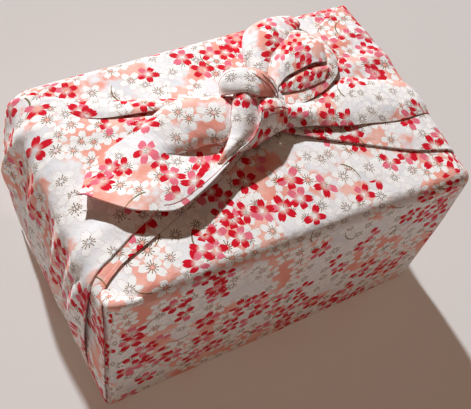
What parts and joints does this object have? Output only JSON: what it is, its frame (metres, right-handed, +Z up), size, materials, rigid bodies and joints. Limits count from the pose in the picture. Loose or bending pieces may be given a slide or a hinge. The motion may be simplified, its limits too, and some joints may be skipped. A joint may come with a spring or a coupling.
{
  "type": "furoshiki gift wrap",
  "caption": "Square cotton cloth with a traditional blossom print, wrapped round a long box and tied on top in a square knot with one spread tail and one looped tail.",
  "frame": {"origin": "middle of the wrap's bounding box, on the table it rests on", "axes": "+X along the box's length, towards the end with the looped tail; +Y towards its back; +Z up"},
  "size_m": [0.3354, 0.2093, 0.209],
  "materials": {
    "printed_cotton": "matt plain-weave cotton, printed"
  },
  "bodies": {
    "root": {"furoshiki_wrap": "printed_cotton"}
  },
  "joints": []
}
